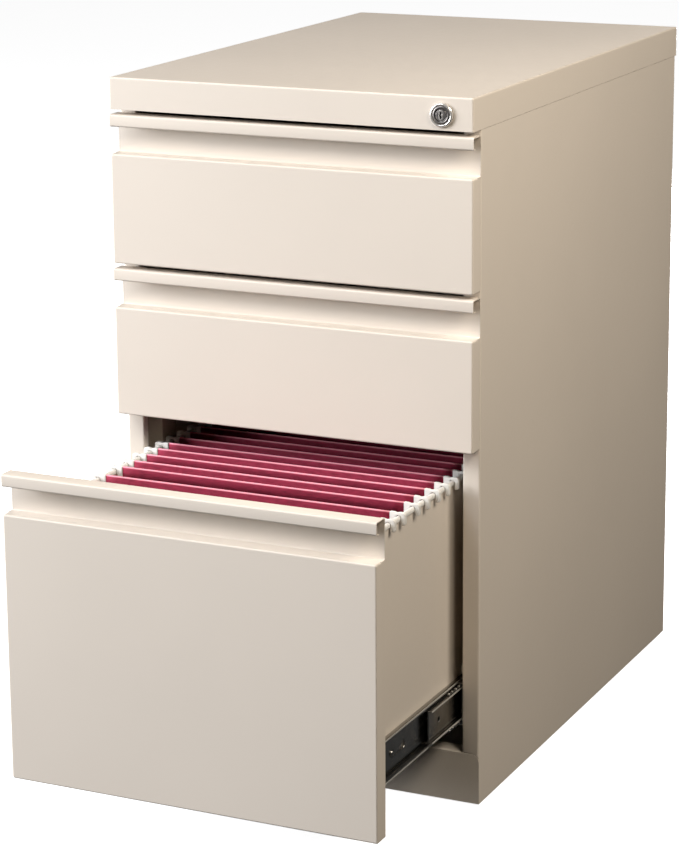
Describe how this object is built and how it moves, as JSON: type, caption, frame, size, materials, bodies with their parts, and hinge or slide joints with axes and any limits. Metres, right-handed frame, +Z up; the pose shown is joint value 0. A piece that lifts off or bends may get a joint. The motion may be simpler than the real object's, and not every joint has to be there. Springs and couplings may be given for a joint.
{
  "type": "filing cabinet",
  "caption": "Upright steel pedestal cabinet with shallow box drawers over a deep file drawer on ball-bearing slides, full-width recessed pulls and a front lock.",
  "frame": {"origin": "on the floor, under the middle of the whole cabinet's box with the file drawer out as at rest", "axes": "+Z up, +Y towards the back, +X to the right seen from the front"},
  "size_m": [0.381, 0.799, 0.696],
  "materials": {
    "cabinet_paint": "fine-textured light putty powder coat",
    "inside_paint": "the same powder coat, thinner, inside the case",
    "slide_zinc": "bright zinc plate",
    "lock_chrome": "polished chrome plate",
    "weight_iron": "raw casting",
    "rail_plastic": "satin moulded plastic",
    "glide_plastic": "black moulded plastic",
    "folder_board": "burgundy card with a fine fibre texture"
  },
  "bodies": {
    "case": {"kick_plate": "cabinet_paint", "back_panel": "cabinet_paint", "lid": "cabinet_paint", "base_pan": "inside_paint", "side_panel_left": "cabinet_paint", "side_panel_right": "cabinet_paint", "slide_post_front_left": "inside_paint", "slide_post_front_right": "inside_paint", "slide_post_rear_left": "inside_paint", "slide_post_rear_right": "inside_paint", "floor_glide_front_left": "glide_plastic", "floor_glide_front_right": "glide_plastic", "floor_glide_rear_left": "glide_plastic", "floor_glide_rear_right": "glide_plastic", "counterweight": "weight_iron", "cabinet_slide_file_left": "slide_zinc", "cabinet_slide_file_right": "slide_zinc", "cabinet_slide_middle_left": "slide_zinc", "cabinet_slide_middle_right": "slide_zinc", "cabinet_slide_top_left": "slide_zinc", "cabinet_slide_top_right": "slide_zinc", "lock_housing": "lock_chrome", "lock_nut": "slide_zinc"},
    "top_drawer": {"drawer_front_top": "cabinet_paint", "drawer_tray_top": "cabinet_paint", "drawer_back_top": "cabinet_paint", "lock_catch_top": "slide_zinc", "drawer_slide_top_left": "slide_zinc", "drawer_slide_top_right": "slide_zinc"},
    "top_carriage": {"middle_slide_top_left": "slide_zinc", "middle_slide_top_right": "slide_zinc"},
    "middle_drawer": {"drawer_front_middle": "cabinet_paint", "drawer_tray_middle": "cabinet_paint", "drawer_back_middle": "cabinet_paint", "lock_catch_middle": "slide_zinc", "drawer_slide_middle_left": "slide_zinc", "drawer_slide_middle_right": "slide_zinc"},
    "middle_carriage": {"middle_slide_middle_left": "slide_zinc", "middle_slide_middle_right": "slide_zinc"},
    "file_drawer": {"drawer_front_file": "cabinet_paint", "drawer_tray_file": "cabinet_paint", "drawer_back_file": "cabinet_paint", "lock_catch_file": "slide_zinc", "drawer_slide_file_left": "slide_zinc", "drawer_slide_file_right": "slide_zinc", "file_rail_left": "rail_plastic", "file_rail_right": "rail_plastic"},
    "file_carriage": {"middle_slide_file_left": "slide_zinc", "middle_slide_file_right": "slide_zinc"},
    "lock_plug": {"lock_plug": "lock_chrome", "lock_cam": "slide_zinc"},
    "lock_bar": {"lock_bar": "slide_zinc"},
    "folder_1": {"hanging_folder_1": "folder_board"},
    "folder_2": {"hanging_folder_2": "folder_board"},
    "folder_3": {"hanging_folder_3": "folder_board"},
    "folder_4": {"hanging_folder_4": "folder_board"},
    "folder_5": {"hanging_folder_5": "folder_board"},
    "folder_6": {"hanging_folder_6": "folder_board"}
  },
  "joints": [
    {"name": "top_drawer_slide", "type": "slide", "parent": "case", "child": "top_drawer", "axis": [0, -1, 0], "range_m": [0, 0.38]},
    {"name": "top_carriage_slide", "type": "slide", "parent": "case", "child": "top_carriage", "axis": [0, -1, 0], "range_m": [0, 0.19]},
    {"name": "middle_drawer_slide", "type": "slide", "parent": "case", "child": "middle_drawer", "axis": [0, -1, 0], "range_m": [0, 0.38]},
    {"name": "middle_carriage_slide", "type": "slide", "parent": "case", "child": "middle_carriage", "axis": [0, -1, 0], "range_m": [0, 0.19]},
    {"name": "file_drawer_slide", "type": "slide", "parent": "case", "child": "file_drawer", "axis": [0, -1, 0], "range_m": [-0.218, 0.262]},
    {"name": "file_carriage_slide", "type": "slide", "parent": "case", "child": "file_carriage", "axis": [0, -1, 0], "range_m": [-0.109, 0.131]},
    {"name": "lock_plug_turn", "type": "hinge", "parent": "case", "child": "lock_plug", "pos_m": [0.159, -0.1815, 0.679], "axis": [0, -1, 0], "range_deg": [0, 90]},
    {"name": "lock_bar_lift", "type": "slide", "parent": "case", "child": "lock_bar", "axis": [0, 0, 1], "range_m": [0, 0.0099]},
    {"name": "folder_1_slide", "type": "slide", "parent": "file_drawer", "child": "folder_1", "axis": [0, 1, 0], "range_m": [-0.008, 0.008]},
    {"name": "folder_2_slide", "type": "slide", "parent": "file_drawer", "child": "folder_2", "axis": [0, 1, 0], "range_m": [-0.008, 0.008]},
    {"name": "folder_3_slide", "type": "slide", "parent": "file_drawer", "child": "folder_3", "axis": [0, 1, 0], "range_m": [-0.008, 0.008]},
    {"name": "folder_4_slide", "type": "slide", "parent": "file_drawer", "child": "folder_4", "axis": [0, 1, 0], "range_m": [-0.008, 0.008]},
    {"name": "folder_5_slide", "type": "slide", "parent": "file_drawer", "child": "folder_5", "axis": [0, 1, 0], "range_m": [-0.008, 0.008]},
    {"name": "folder_6_slide", "type": "slide", "parent": "file_drawer", "child": "folder_6", "axis": [0, 1, 0], "range_m": [-0.008, 0.008]}
  ],
  "couplings": [
    {"joint": "top_carriage_slide", "follows": "top_drawer_slide", "ratio": 0.5},
    {"joint": "middle_carriage_slide", "follows": "middle_drawer_slide", "ratio": 0.5},
    {"joint": "file_carriage_slide", "follows": "file_drawer_slide", "ratio": 0.5},
    {"joint": "lock_plug_turn", "follows": "lock_bar_lift", "rad_per_m": 158.66}
  ]
}
